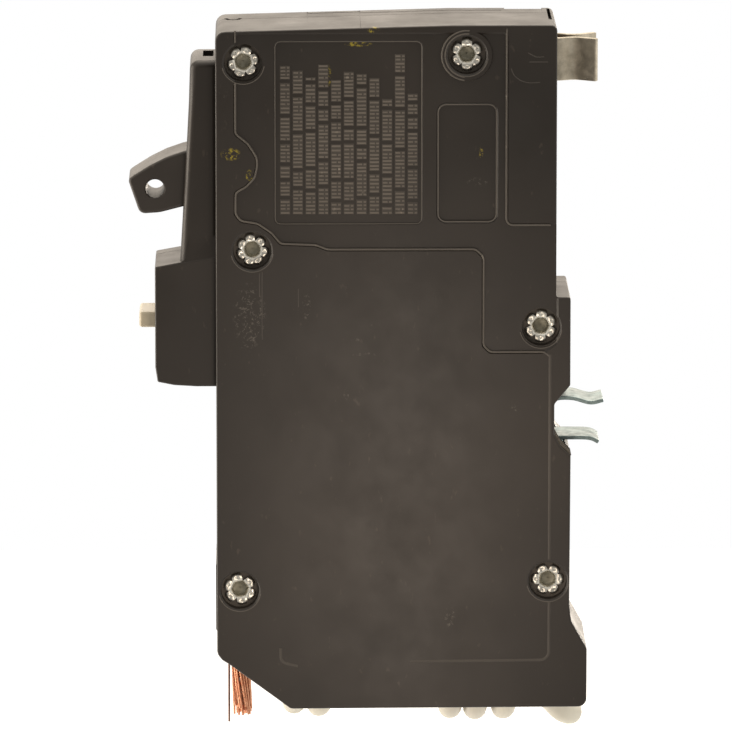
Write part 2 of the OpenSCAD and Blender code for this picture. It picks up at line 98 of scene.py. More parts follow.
def make_camera():
    """A long lens, a little above the breaker, square to its big side."""
    elevation = math.radians(10.7)
    yaw = math.radians(0.7)
    distance = 1.2
    target = Vector((-28.8, -HALF_T, 8.9)) * MM
    away = Vector((
        -math.sin(yaw) * math.cos(elevation),
        -math.cos(yaw) * math.cos(elevation),
        math.sin(elevation)))
    camera = bpy.data.objects.new("camera", bpy.data.cameras.new("camera"))
    camera.location = target + away * distance
    camera.rotation_euler = (-away).to_track_quat("-Z", "Y").to_euler()
    camera.data.sensor_width = 36
    camera.data.lens = 389.5
    camera.data.clip_start = 0.05
    bpy.context.collection.objects.link(camera)
    bpy.context.scene.camera = camera


def make_area_light(name, place, aim, size, power, colour, seen):
    light = bpy.data.lights.new(name, "AREA")
    light.color = colour
    light.shape = "RECTANGLE"
    light.size, light.size_y = size
    light.energy = power
    holder = bpy.data.objects.new(name, light)
    holder.location = place
    holder.rotation_euler = (Vector(aim) - Vector(place)).to_track_quat("-Z", "Y").to_euler()
    holder.visible_camera = seen
    bpy.context.collection.objects.link(holder)


def set_colours():
    bpy.context.scene.view_settings.view_transform = "Standard"


def set_inputs(node, values):
    for socket, value in values.items():
        node.inputs[socket].default_value = value


def make_world():
    """A white surround to the camera; as light it is dim in front and bright all round."""
    world = bpy.data.worlds.new("studio")
    world.use_nodes = True
    tree = world.node_tree
    shown = tree.nodes["Background"]
    set_inputs(shown, {"Color": (1, 1, 1, 1), "Strength": 1})
    lit = tree.nodes.new("ShaderNodeBackground")
    set_inputs(lit, {"Color": (1, 0.95, 0.88, 1)})
    way = tree.nodes.new("ShaderNodeTexCoord")
    parts = tree.nodes.new("ShaderNodeSeparateXYZ")
    shade = tree.nodes.new("ShaderNodeMapRange")
    set_inputs(shade, {"From Min": -0.92, "From Max": -0.35, "To Min": 0.28, "To Max": 1})
    seen = tree.nodes.new("ShaderNodeLightPath")
    pick = tree.nodes.new("ShaderNodeMixShader")
    for start, output, end, socket in (
            (way, "Generated", parts, "Vector"),
            (parts, "Y", shade, "Value"),
            (shade, "Result", lit, "Strength"),
            (seen, "Is Camera Ray", pick, "Fac"),
            (lit, "Background", pick, 1),
            (shown, "Background", pick, 2),
            (pick, "Shader", tree.nodes["World Output"], "Surface")):
        tree.links.new(start.outputs[output], end.inputs[socket])
    bpy.context.scene.world = world


def make_studio():
    """A white floor well below the breaker, a white surround and soft lights."""
    make_world()
    for row in LIGHTS:
        make_area_light(*row)
    floor = mesh_object("floor", *floor_plane(FLOOR_Z))
    floor.data.materials.append(plain_floor())


def floor_plane(z):
    """The floor starts just in front of the breaker and runs behind it."""
    near, far, half = -0.03, 1.4, 1.5
    corners = [(-half, near, z), (half, near, z), (half, far, z), (-half, far, z)]
    return corners, [(0, 1, 2, 3)]


# ---- Mesh helpers ----

def mesh_object(name, points, faces):
    mesh = bpy.data.meshes.new(name)
    mesh.from_pydata([tuple(p) for p in points], [], faces)
    mesh.validate()
    thing = bpy.data.objects.new(name, mesh)
    bpy.context.collection.objects.link(thing)
    return thing


def ring_faces(count, total):
    """The faces of a closed solid through rings of count points, out of total points."""
    last = total - count
    faces = [tuple(range(count)), tuple(range(total - 1, last - 1, -1))]
    for start in range(0, last, count):
        for k in range(count):
            a, b = start + k, start + (k + 1) % count
            faces.append((a, a + count, b + count, b))
    return faces


def closed_object(name, points, faces):
    """A mesh object with its faces turned outwards; points are in millimetres."""
    thing = mesh_object(name, [Vector(point) * MM for point in points], faces)
    face_outwards(thing.data)
    return thing


def solid(name, rings):
    """A closed solid through rings of points, each with as many points."""
    points = [point for ring in rings for point in ring]
    return closed_object(name, points, ring_faces(len(rings[0]), len(points)))


def lofted(name, levels):
    """A closed solid through levels along y; each is its y and its outline of (x, z)."""
    return solid(name, [[(x, y, z) for x, z in outline] for y, outline in levels])


def prism(name, outline, y0, y1):
    """A closed prism from an outline of (x, z) between two depths y."""
    return lofted(name, [(y0, outline), (y1, outline)])


def box(name, low, high):
    """A closed box from its lowest to its highest corner, in millimetres."""
    outline = [(low[0], low[2]), (high[0], low[2]), (high[0], high[2]), (low[0], high[2])]
    return prism(name, outline, low[1], high[1])


def arc(centre, radius, angles):
    x, z = centre
    return [(x + radius * math.cos(a), z + radius * math.sin(a)) for a in angles]


def disc(centre, radius, sides=40):
    return arc(centre, radius, [2 * math.pi * k / sides for k in range(sides)])


def revolved(name, profile, centre, sides=48):
    """A closed solid turned about a line along y; profile is a list of (radius, y)."""
    return lofted(name, [(y, disc(centre, r, sides)) for r, y in profile])


def rod(name, start, end, radius, sides=48):
    """A closed cylinder between two points, in millimetres."""
    start, end = Vector(start), Vector(end)
    turn = (end - start).to_track_quat("Z", "Y")
    spokes = [turn @ Vector((x, y, 0)) for x, y in disc((0, 0), radius, sides)]
    return solid(name, [[centre + spoke for spoke in spokes] for centre in (start, end)])


@contextmanager
def edited(mesh):
    """The mesh as a bmesh, written back at the end."""
    work = bmesh.new()
    work.from_mesh(mesh)
    yield work
    work.to_mesh(mesh)
    work.free()


def face_outwards(mesh):
    with edited(mesh) as work:
        bmesh.ops.recalc_face_normals(work, faces=work.faces)


def rounded(outline, radius, steps=5):
    """The outline with an arc at each corner; radius is one number or one for each corner."""
    radii = radius if hasattr(radius, "__len__") else [radius] * len(outline)
    result = []
    for i, (corner, r) in enumerate(zip(outline, radii)):
        here = Vector(corner)
        before = Vector(outline[i - 1]) - here
        after = Vector(outline[(i + 1) % len(outline)]) - here
        angle = before.angle(after)
        if r <= 0 or abs(angle - math.pi) < 0.02:
            result.append(tuple(here))
            continue
        reach = min(r / math.tan(angle / 2), 0.45 * before.length, 0.45 * after.length)
        before.normalize()
        after.normalize()
        middle = here + (before + after).normalized() * (reach / math.cos(angle / 2))
        start = here + before * reach - middle
        end = here + after * reach - middle
        sweep = math.atan2(start.x * end.y - start.y * end.x, start.dot(end))
        for k in range(steps + 1):
            turn = Matrix.Rotation(sweep * k / steps, 2)
            result.append(tuple(middle + turn @ start))
    return result


def apply_modifiers(thing):
    """Bakes the modifiers into the object's own mesh."""
    graph = bpy.context.evaluated_depsgraph_get()
    mesh = bpy.data.meshes.new_from_object(thing.evaluated_get(graph))
    old = thing.data
    thing.modifiers.clear()
    thing.data = mesh
    bpy.data.meshes.remove(old)


def combine(thing, others, operation):
    """Joins or cuts closed meshes with booleans, and removes the other objects."""
    for other in others:
        step = thing.modifiers.new("boolean", "BOOLEAN")
        step.operation = operation
        step.solver = "MANIFOLD"
        step.object = other
        apply_modifiers(thing)
        bpy.data.meshes.remove(other.data)
    return thing


def cut(thing, *others):
    return combine(thing, others, "DIFFERENCE")


def add(thing, *others):
    return combine(thing, others, "UNION")


def bevel(thing, width, segments=2, angle=32):
    """Rounds every edge sharper than the angle; width is in millimetres."""
    step = thing.modifiers.new("bevel", "BEVEL")
    step.width = width * MM
    step.segments = segments
    step.limit_method = "ANGLE"
    step.angle_limit = math.radians(angle)
    step.use_clamp_overlap = False
    step.miter_outer = "MITER_ARC"
    apply_modifiers(thing)


def tidy(thing):
    """Merges doubled points and the flat faces that the booleans left in strips."""
    with edited(thing.data) as work:
        bmesh.ops.remove_doubles(work, verts=work.verts, dist=0.01 * MM)
        bmesh.ops.dissolve_limit(
            work, angle_limit=math.radians(1), verts=work.verts, edges=work.edges)


def smooth(thing, angle=35):
    """Smooth shading, with edges sharper than the angle kept crisp."""
    limit = math.radians(angle)
    with edited(thing.data) as work:
        for face in work.faces:
            face.smooth = True
        for edge in work.edges:
            edge.smooth = len(edge.link_faces) == 2 and edge.calc_face_angle(0) < limit
    weighted = thing.modifiers.new("weighted_normals", "WEIGHTED_NORMAL")
    weighted.keep_sharp = True
    apply_modifiers(thing)


def file_piece(thing, body, nodes=()):
    """Gives a piece its body, and hides the CAD nodes that it stands for."""
    if nodes:
        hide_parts(*nodes)
    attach(thing, body)
    return thing


def finish_piece(thing, body, material, nodes=()):
    """The same, with the piece's one material."""
    thing.data.materials.clear()
    thing.data.materials.append(material)
    return file_piece(thing, body, nodes)


# ---- Materials ----

class Shader:
    """A Principled material with a few helpers for its nodes."""

    def __init__(self, name, roughness=0.5, metallic=0.0, specular=0.5):
        self.material = bpy.data.materials.new(name)
        self.material.use_nodes = True
        self.tree = self.material.node_tree
        self.main = self.tree.nodes["Principled BSDF"]
        set_inputs(self.main, {
            "Roughness": roughness, "Metallic": metallic, "Specular IOR Level": specular})
        self.place = self.node("TexCoord").outputs["Object"]

    def node(self, kind, values=None):
        """A new node; values is a dict of socket and value."""
        node = self.tree.nodes.new("ShaderNode" + kind)
        set_inputs(node, values or {})
        return node

    def link(self, output, node, socket):
        self.tree.links.new(output, node.inputs[socket])

    def noise(self, size_mm, detail=3.0, rough=0.55, stretch=(1, 1, 1)):
        """Noise whose features measure about size_mm."""
        waves = 1 / (size_mm * MM)
        scaling = self.node("Mapping", {"Scale": [waves * s for s in stretch]})
        node = self.node("TexNoise", {"Scale": 1, "Detail": detail, "Roughness": rough})
        self.link(self.place, scaling, "Vector")
        self.link(scaling.outputs["Vector"], node, "Vector")
        return node.outputs["Fac"]

    def ramp(self, value, stops):
        """Maps a value to colours; stops is a list of (position, colour)."""
        node = self.node("ValToRGB")
        for element, (position, colour) in zip(node.color_ramp.elements, stops):
            element.position = position
            element.color = (*colour, 1)
        self.link(value, node, "Fac")
        return node.outputs["Color"]

    def spread(self, value, low, high, start=0.3, end=0.7):
        """Maps a value from start..end to low..high."""
        node = self.node(
            "MapRange", {"From Min": start, "From Max": end, "To Min": low, "To Max": high})
        self.link(value, node, "Value")
        return node.outputs["Result"]

    def maths(self, operation, first, second):
        node = self.node("Math")
        node.operation = operation
        self.link(first, node, 0)
        self.link(second, node, 1)
        return node.outputs["Value"]

    def blend(self, factor, first, second):
        """Mixes an output's colour with a plain colour."""
        node = self.node("Mix")
        node.data_type = "RGBA"
        self.link(factor, node, "Factor")
        self.link(first, node, 6)
        node.inputs[7].default_value = (*second, 1)
        return node.outputs[2]

    def bump(self, height, depth_mm, strength=1.0, under=None):
        node = self.node("Bump", {"Distance": depth_mm * MM, "Strength": strength})
        self.link(height, node, "Height")
        if under is not None:
            self.link(under, node, "Normal")
        return node.outputs["Normal"]

    def set(self, socket, output):
        self.link(output, self.main, socket)


def plain_floor():
    shader = Shader("floor_white", roughness=0.9, specular=0.1)
    grain = shader.noise(40)
    shader.set("Base Color", shader.ramp(grain, [(0.3, (0.97, 0.97, 0.97)), (0.7, (1, 1, 1))]))
    set_inputs(shader.main, {"Emission Color": (1, 1, 1, 1), "Emission Strength": 0.3})
    return shader.material


def mark_mask(shader, marks, cover):
    """Broken marks on the near face; a higher cover leaves less of them."""
    broken = shader.spread(shader.noise(0.55, detail=4.0, rough=0.8), 0, 1, cover, cover + 0.06)
    total = None
    for x, z, half_x, half_z in marks:
        place = shader.node("Mapping")
        place.vector_type = "TEXTURE"
        set_inputs(place, {
            "Location": Vector((x, -HALF_T, z)) * MM, "Scale": Vector((half_x, 2, half_z)) * MM})
        shader.link(shader.place, place, "Vector")
        size = shader.node("VectorMath")
        size.operation = "LENGTH"
        shader.link(place.outputs["Vector"], size, 0)
        near = shader.spread(size.outputs["Value"], 1, 0, 0.75, 1.15)
        total = near if total is None else shader.maths("MAXIMUM", total, near)
    return shader.maths("MULTIPLY", total, broken)


def molded_phenolic(name, dark, light, gloss=0.36, marked=False):
    """Semi-gloss phenolic: cloudy colour, faint orange peel, rubbed patches and tiny scuffs."""
    shader = Shader(name)
    cloud = shader.noise(34, detail=2.0)
    tone = shader.ramp(cloud, [(0.32, dark), (0.68, light)])
    fleck = shader.noise(0.9, detail=2.0, stretch=(1, 1, 0.45))
    scuffed = shader.spread(fleck, 0.0, 0.6, 0.69, 0.78)
    tone = shader.blend(scuffed, tone, scaled(light, 2.2))
    if marked:
        tone = shader.blend(mark_mask(shader, SCUFF_MARKS, 0.56), tone, SCUFF_COLOUR)
        tone = shader.blend(mark_mask(shader, CRAYON_MARKS, 0.5), tone, CRAYON_COLOUR)
    shader.set("Base Color", tone)
    rub_and_painted_light = shader.noise(9, detail=5.0, rough=0.65)
    shader.set("Roughness", shader.spread(rub_and_painted_light, gloss, gloss + 0.14))
    peel = shader.bump(shader.noise(0.9, detail=4.0), 0.012, 0.6)
    sink = shader.bump(shader.noise(14, detail=1.0), 0.16, 0.35, under=peel)
    shader.set("Normal", sink)
    return shader.material


def plated_metal(name, dark, light, rough=0.3, grain=(1, 1, 1), size=1.6, depth=0.01):
    """Plated or rolled metal: mottled colour and roughness, and a fine grain."""
    shader = Shader(name, metallic=1.0)
    mottle = shader.noise(size * 2.5, detail=5.0, rough=0.7)
    shader.set("Base Color", shader.ramp(mottle, [(0.35, dark), (0.65, light)]))
    lines = shader.noise(size, detail=4.0, stretch=grain)
    shader.set("Roughness", shader.spread(lines, rough * 0.75, rough * 1.35))
    shader.set("Normal", shader.bump(lines, depth, 0.7))
    return shader.material


def smooth_plastic(name, dark, light, rough=0.45, sheen_size=8.0, depth=0.006):
    """Plain plastic, lacquer or rubber with a soft unevenness."""
    shader = Shader(name)
    cloud = shader.noise(sheen_size, detail=3.0)
    shader.set("Base Color", shader.ramp(cloud, [(0.3, dark), (0.7, light)]))
    skin = shader.noise(0.7, detail=3.0)
    shader.set("Roughness", shader.spread(cloud, rough - 0.06, rough + 0.08))
    shader.set("Normal", shader.bump(skin, depth, 0.6))
    return shader.material


def dried_dirt(name, dark, light):
    """A matt, pitted crust."""
    shader = Shader(name, roughness=0.95, specular=0.1)
    pits = shader.noise(0.5, detail=4.0, rough=0.7)
    shader.set("Base Color", shader.ramp(pits, [(0.4, dark), (0.6, light)]))
    shader.set("Normal", shader.bump(pits, 0.1, 1.0))
    return shader.material


def scaled(colour, factor):
    return tuple(min(1.0, c * factor) for c in colour)


def slot_material(slot, colour, kind):
    """The finish of a hidden piece, from the record's colour and class."""
    dark, light = scaled(colour, 0.78), scaled(colour, 1.15)
    if kind in ("brushed_steel", "brass", "aluminium", "chrome"):
        return plated_metal(slot, dark, light, rough=0.34, grain=(0.25, 1, 1))
    return smooth_plastic(slot, dark, light, rough=0.5)


def dress_frame():
    """A procedural material on every CAD node, by its slot in the record."""
    record = frame["record"]
    facts = {m["slot"]: m for m in record["materials"]}
    made = {}
    for entry in record["subparts"]:
        slot = entry["material_slot"]
        if slot not in made:
            colour = tuple(facts[slot]["base_color"][:3])
            made[slot] = slot_material(slot, colour, facts[slot]["class"])
        node = frame["nodes"][entry["node"]]
        node.data.materials.clear()
        node.data.materials.append(made[slot])


# ---- Case moldings ----

CASE_OUTLINE = [
    (-16, CASE_TOP), (-51.5, CASE_TOP - 0.95), (-51.5, -35.8), (-50.7, -36.8), (-49.7, -37.4),
    (-42.8, -42.5), (-40.3, -44.4), (4.9, -44.2), (4.9, -35.1), (2.5, -30.8), (2.2, -28.2),
    (2.3, -5), (0.7, -3.5), (-0.2, -1.8), (-0.2, 2.9), (2.2, 5.8), (2.2, 19.4), (0, 19.4),
    (0, CASE_TOP)]
CASE_RADII = [
    20, 1.5, 1.8, 1.8, 1.5, 1, 1.2, 1.3, 0.8, 1, 0.4, 0.5, 0.5, 0.6, 0.8, 0.5, 0.4, 0.3, 0.9]
CAVITY_OUTLINE = [
    (-49.8, 58.2), (-49.8, -35.1), (-41.8, -41.1), (-40, -42.5), (2.9, -42.5), (2.9, -35.6),
    (0.5, -31.2), (0.5, -5.8), (-1.8, -3), (-1.8, 3.6), (-1.8, 59.35), (-17, 59.35)]
NOSE_OUTLINE = [
    (-51, 55.2), (-51, 22), (-57.1, 22), (-56.4, 32), (-55.9, 41), (-55.5, 49), (-55.3, 55.2)]
NOSE_RADII = [0, 0, 0, 3, 3, 3, 1.3]
NOSE_CAVITY = [
    (-49.5, 53.8), (-49.5, 25.6), (-55.4, 25.6), (-55, 32), (-54.5, 41), (-54.1, 49), (-53.9, 53.8)]
BLOCK_OUTLINE = [(-51, 25.6), (-51, 5.4), (-54.5, 5.4), (-57.9, 5.6), (-60.4, 6.1),
                 (-60.75, 8.4), (-60.75, 23.8)]
BLOCK_RADII = [0, 0, 3, 3, 0.3, 2, 0.3]
BLOCK_CAVITY = [(-49.5, 24), (-49.5, 6.8), (-57.8, 6.9), (-58.9, 7.1), (-59.2, 8.4), (-59.2, 22.5)]
CHAMFER_ENTRY = Vector((-46.2, 0, -39.5))
CHAMFER_OUT = Vector((-0.5948, 0, -0.8039))


def case_mass(name, y0, y1, open_side):
    """The outer body of one molding. Its edges are rounded on the side away from the seam."""
    body = prism(name, rounded(CASE_OUTLINE, CASE_RADII), y0, y1)
    round_face_edge(body, open_side, 0.55)
    nose_y = (max(y0, -NOSE_HALF), min(y1, NOSE_HALF))
    block_y = (max(y0, -BLOCK_HALF), min(y1, BLOCK_HALF))
    nose = prism("nose", rounded(NOSE_OUTLINE, NOSE_RADII), *nose_y)
    round_face_edge(nose, open_side, 1.1)
    block = prism("block", rounded(BLOCK_OUTLINE, BLOCK_RADII), *block_y)
    round_face_edge(block, open_side, 0.35)
    add(body, nose, block, nose_flare(open_side))
    return body


def nose_flare(side):
    """The slope that carries the nose's side face down to the block's wider one."""
    wide = [(-56.4, 22), (-56.3, 24.3), (-51, 25.4), (-51, 22)]
    narrow = [(-55.8, 22), (-55.4, 28.5), (-51, 28.5), (-51, 22)]
    levels = [(BLOCK_HALF - 0.05, wide), (NOSE_HALF - 0.02, narrow), (NOSE_HALF - 1.5, narrow)]
    return lofted("nose_flare", [(side * y, outline) for y, outline in levels])


def round_face_edge(thing, side, radius):
    """Rounds the rim of the face at the prism's low (-1) or high (1) end in y."""
    with edited(thing.data) as work:
        reach = [v.co.y for v in work.verts]
        level = min(reach) if side < 0 else max(reach)
        rim = [e for e in work.edges if all(abs(v.co.y - level) < 0.01 * MM for v in e.verts)]
        bmesh.ops.bevel(
            work, geom=rim, offset=radius * MM, segments=5, profile=0.5, affect="EDGES",
            clamp_overlap=True)


def case_hollows():
    """Cutters for every hollow that the two moldings share."""
    return [
        prism("cavity", CAVITY_OUTLINE, -INNER_Y, INNER_Y),
        prism("nose_cavity", NOSE_CAVITY, -NOSE_HALF + 1.2, NOSE_HALF - 1.2),
        prism("block_cavity", BLOCK_CAVITY, -BLOCK_HALF + 1.4, BLOCK_HALF - 1.4),
        box("handle_slot", (-60, -5.1, 31.7), (-49, 5.1, 47.4)),
        box("button_slot", (-62, -4.3, 13.75), (-58, 4.3, 16.45)),
        box("jaw_slot", (-3, -3.9, 50.9), (1, 3.9, 58.7)),
        box("clip_slot_upper", (-3, -4, 1.3), (3, 4, 3.6)),
        box("clip_slot_lower", (-3, -4, -7.1), (1.7, 4, -2.6)),
        box("latch_window", (-53.4, -1.6, 53), (-51.8, 4.2, 56))]


def entry_rod(name, y, back, ahead, radius):
    """A cylinder along a wire entry; back and ahead are measured from the sloping face."""
    middle = CHAMFER_ENTRY + Vector((0, y, 0))
    return rod(name, middle - CHAMFER_OUT * back, middle + CHAMFER_OUT * ahead, radius)


def terminal_cutters():
    """The two wire entries in the sloping face, and the two driver holes in front."""
    cutters = []
    for y in (-TERMINAL_Y, TERMINAL_Y):
        cutters.append(entry_rod("wire_cut", y, 6, 2, 2.7))
        cutters.append(rod("driver_cut", (-53, y, TERMINAL_Z), (-48, y, TERMINAL_Z), 3.0))
    return cutters


def case_bosses(y0, y1):
    """Bosses around the rivets, kept inside the case's outline."""
    bosses = []
    for x, z in RIVETS:
        boss = rod("boss", (x, y0, z), (x, y1, z), 3.6)
        keep = prism("keep", rounded(CASE_OUTLINE, CASE_RADII), y0 - 1, y1 + 1)
        bosses.append(combine(boss, [keep], "INTERSECT"))
    return bosses


def entry_guides(y0, y1):
    """Short tubes behind the wire entries, kept to one molding's share of the thickness."""
    guides = []
    for y in (-TERMINAL_Y, TERMINAL_Y):
        guide = entry_rod("guide", y, 3.8, -0.8, 3.7)
        keep = box("keep", (-60, y0, -50), (0, y1, -20))
        guides.append(combine(guide, [keep], "INTERSECT"))
    return guides


def front_pad(y0, y1):
    outline = [(-51.3, -21.5), (-51.65, -22.3), (-51.65, -32.2), (-51.3, -33)]
    return prism("front_pad", outline, y0, y1)


# The raised line that bounds the recessed upper part of the near face, and that part's outline.
RECESS_EDGE = [
    (-48.5, 44.5), (-46.6, 43), (-45.3, 40.9), (-45.2, 39.6), (-45.6, 37.8), (-46.9, 36.4),
    (-48.5, 35.5), (-48.5, 32.2), (-47.7, 31.2), (-45.2, 30.8), (-43.1, 29.4), (-41.7, 27.7),
    (-36.4, 27.5), (-34.6, 26.8), (-12.2, 26.8), (-11, 25.6), (-11, 12), (-10, 11), (-1.8, 11)]
RECESS_OUTLINE = [
    (-48.5, 59.6), *RECESS_EDGE, (0.05, 12.5), (0.05, 19.2), (0.6, 19.9), (0.6, 30.5),
    (-7, 30.5), (-7.6, 31.1), (-7.6, 59.6)]
NOTICE_PANEL = [(-42.5, 58.5), (-42.5, 30.7), (-20.4, 30.7), (-20.4, 58.5)]
SMALL_PANEL = [(-17.9, 48.9), (-17.9, 31), (-9.1, 31), (-9.1, 48.9)]
SUNK_RIDGES = [
    [(-48.5, 60.2), *RECESS_EDGE, (-0.9, 10.2)],
    [(-7.6, 60.6), (-7.6, 31.1), (-7, 30.5), (-0.9, 30.5)]]
RAISED_RIDGES = [
    [(-0.9, 10.6), (-0.9, -36), (-1.7, -36.8), (-22, -37)],
    [(-39.2, -37.7), (-41.3, -37.2), (-41.8, -36.6), (-41.8, -34.9)]]
FAINT_RIDGES = [
    [(-6.95, 54.4), (-6.5, 53.3), (-5.6, 52.6), (-4.3, 52.2), (-2.6, 52.3)],
    [(-4.4, 56.8), (-3.2, 56.1), (-2, 56.2)], [(-4.2, 55.4), (-1.4, 55.4)],
    [(-44.5, 23.4), (-44.5, 13)], [(-44.9, 23.2), (-44.9, 19.6)], [(-39, 20.8), (-39, 18)]]


def grown(outline, amount):
    """The outline moved outwards by an amount; inwards where it is negative."""
    points = [Vector(p) for p in outline]
    before = points[-1:] + points[:-1]
    after = points[1:] + points[:1]
    side = math.copysign(1, sum(a.x * b.y - b.x * a.y for a, b in zip(before, points)))
    result = []
    for a, here, b in zip(before, points, after):
        first, second = [
            Vector((d.y, -d.x)).normalized() * side for d in (here - a, b - here)]
        middle = (first + second).normalized()
        result.append(tuple(here + middle * amount / max(0.4, middle.dot(first))))
    return result


def sunk_panel(name, outline, surface, depth, slope=0.3):
    """A cutter for a shallow panel with sloping edges, below a surface at height -surface."""
    top = grown(outline, slope)
    return lofted(name, [
        (-surface - 0.4, top), (-surface - 0.001, top), (-surface + depth, outline)])


def counterbore(rivet, depth, side):
    """A cutter for a rivet's counterbore with a slightly rounded mouth."""
    levels = [(HALF_T + 0.5, 3.24), (HALF_T, 3.16), (HALF_T - 0.2, 2.92), (HALF_T - 0.5, 2.88),
              (HALF_T - depth, COUNTERBORE_R)]
    return lofted("counterbore", [(side * y, disc(rivet, r)) for y, r in levels])


def rivet_bores():
    return [rod("bore", (x, -12, z), (x, 12, z), BORE_R, 32) for x, z in RIVETS]


def grommet_line(back, forward):
    """The two ends of a stretch of the pigtail's way out of the case."""
    start = Vector(LEAD_ROUTE[0])
    way = Vector((0.359, 0.807, -0.469))
    return start + way * back, start + way * forward


def parting_groove():
    """The fine line around the case and the block where the two moldings meet."""
    rings = []
    for outline in (rounded(CASE_OUTLINE, CASE_RADII), rounded(BLOCK_OUTLINE, BLOCK_RADII)):
        ring = prism("groove", grown(outline, 0.5), SEAM_Y - 0.07, SEAM_Y + 0.07)
        keep = prism("keep", grown(outline, -0.16), SEAM_Y - 1, SEAM_Y + 1)
        rings.append(cut(ring, keep))
    return rings


def top_cutters():
    """The fine seams, the small curved slot and the low step in the line end's top face."""
    high = CASE_TOP + 1
    smile = [(-50, 4.7), (-49.5, 3.3), (-48.8, 3), (-48.1, 3.2), (-47.7, 4.5)]
    return [
        thick_strip("smile", smile, 0.6, CASE_TOP - 1.8, high, "z"),
        box("seam_full", (-29.68, -9.3, CASE_TOP - 0.5), (-29.56, 9.3, high)),
        box("seam_part", (-37.6, -1, CASE_TOP - 0.7), (-37.48, 9.3, high)),
        box("left_line", (-37.5, 7.4, CASE_TOP - 0.75), (-29.6, 7.8, high)),
        box("right_line", (-29.6, 6.6, CASE_TOP - 0.5), (-8, 6.9, high)),
        box("corner_slot", (-1.1, -3, CASE_TOP - 1.2), (-0.6, 8.4, high)),
        box("top_step", (-7.5, 6.5, CASE_TOP - 0.2), (-1.8, 9.6, high))]


def cut_relief(body):
    """The recessed upper part of the near face, and the two panels sunk into it."""
    rivet = RIVETS[1]
    recess = sunk_panel("recess", rounded(RECESS_OUTLINE, 0.5, 2), HALF_T, RECESS_DEPTH)
    cut(recess, lofted("keep", [
        (-12, disc(rivet, 3.7)), (-HALF_T, disc(rivet, 3.75)), (-HALF_T + 0.5, disc(rivet, 4.1))]))
    cut(body, recess)
    floor = HALF_T - RECESS_DEPTH
    cut(body, sunk_panel("notice", rounded(NOTICE_PANEL, 0.8, 3), floor, NOTICE_DEPTH, 0.2))
    cut(body, sunk_panel("small_panel", rounded(SMALL_PANEL, 1.2, 5), floor, 0.3, 0.3))


def make_molding(side, material):
    """The near molding (side -1), with its relief, or the far one (side 1), which closes it."""
    near = side < 0
    low, high = (-HALF_T, SEAM_Y) if near else (SEAM_Y, HALF_T)

    def span(inset):
        return (low + inset, high) if near else (low, high - inset)

    body = case_mass("near_molding" if near else "far_molding", low, high, side)
    cut(body, *case_hollows())
    add(body, *case_bosses(*span(0.8)))
    add(body, *entry_guides(*span(WALL - 0.01)))
    add(body, front_pad(*span(WALL)))
    if near:
        cut_relief(body)
    cut(body, *[counterbore(rivet, 1.8 if near else 1.1, side) for rivet in RIVETS])
    cut(body, *terminal_cutters(), *rivet_bores(), rod("lead_hole", *grommet_line(-8, 4), 2.65))
    cut(body, *top_cutters(), *parting_groove())
    tidy(body)
    smooth(body)
    node = "case_base" if near else "case_cover"
    return finish_piece(body, "case", material, [node])


RIDGE_SECTION = [(-0.5, 0.15), (-0.32, -0.7), (0, -1), (0.32, -0.7), (0.5, 0.15)]


def with_across(line):
    """Each point of an open line, as a vector, with the unit vector across the line there."""
    line = [Vector(p) for p in line]
    pairs = []
    for i, here in enumerate(line):
        along = (line[min(len(line) - 1, i + 1)] - line[max(0, i - 1)]).normalized()
        pairs.append((here, Vector((along.y, -along.x))))
    return pairs


def ridge_points(line, width, height, base):
    """A low rounded rib along a line of (x, z), standing on a surface at y = base."""
    points = []
    for i, (here, across) in enumerate(with_across(line)):
        taper = 0.55 if i in (0, len(line) - 1) else 1.0
        for s, h in RIDGE_SECTION:
            at = here + across * s * width
            points.append((at.x, base + h * height * taper, at.y))
    return points, ring_faces(len(RIDGE_SECTION), len(points))


def clear_of_rivets(line):
    """The stretches of a line that keep out of the counterbores."""
    stretches = [[]]
    for point in line:
        if min(math.dist(point, rivet) for rivet in RIVETS) > 3.2:
            stretches[-1].append(point)
        elif stretches[-1]:
            stretches.append([])
    return [stretch for stretch in stretches if len(stretch) > 1]


def soft_line(line, radius=0.5, steps=3):
    """An open line with its corners rounded, and points about 0.6 mm apart."""
    bent = [Vector(line[0])]
    for i in range(1, len(line) - 1):
        here = Vector(line[i])
        back = Vector(line[i - 1]) - here
        ahead = Vector(line[i + 1]) - here
        start = here + back.normalized() * min(radius, back.length / 2)
        end = here + ahead.normalized() * min(radius, ahead.length / 2)
        for k in range(steps + 1):
            t = k / steps
            bent.append(start * (1 - t) ** 2 + here * 2 * t * (1 - t) + end * t * t)
    bent.append(Vector(line[-1]))
    even = [bent[0]]
    for point in bent[1:]:
        first = even[-1]
        parts = max(1, round((point - first).length / 0.6))
        even += [first.lerp(point, k / parts) for k in range(1, parts + 1)]
    return even


def gathered(parts):
    """The points and faces of several parts, as one part."""
    points, faces = [], []
    for part_points, part_faces in parts:
        start = len(points)
        points += part_points
        faces += [tuple(start + i for i in face) for face in part_faces]
    return points, faces


def ridge_object(name, lines, material):
    """One piece of ridges; each line is its points, its width, its height and its base."""
    ridges = [
        ridge_points(stretch, *section)
        for line, *section in lines for stretch in clear_of_rivets(line)]
    thing = closed_object(name, *gathered(ridges))
    smooth(thing, 60)
    return finish_piece(thing, "case", material)


def make_faint_ridges(material):
    """The low rib along the lower half of the face, and the small molded marks, painted pale as
    highlights on their edges.
    """
    lines = [(soft_line(line), 0.45, 0.08, -HALF_T) for line in RAISED_RIDGES]
    lines += [(soft_line(line), 0.15, 0.03, -HALF_T) for line in FAINT_RIDGES]
    return ridge_object("faint_ridges", lines, material)


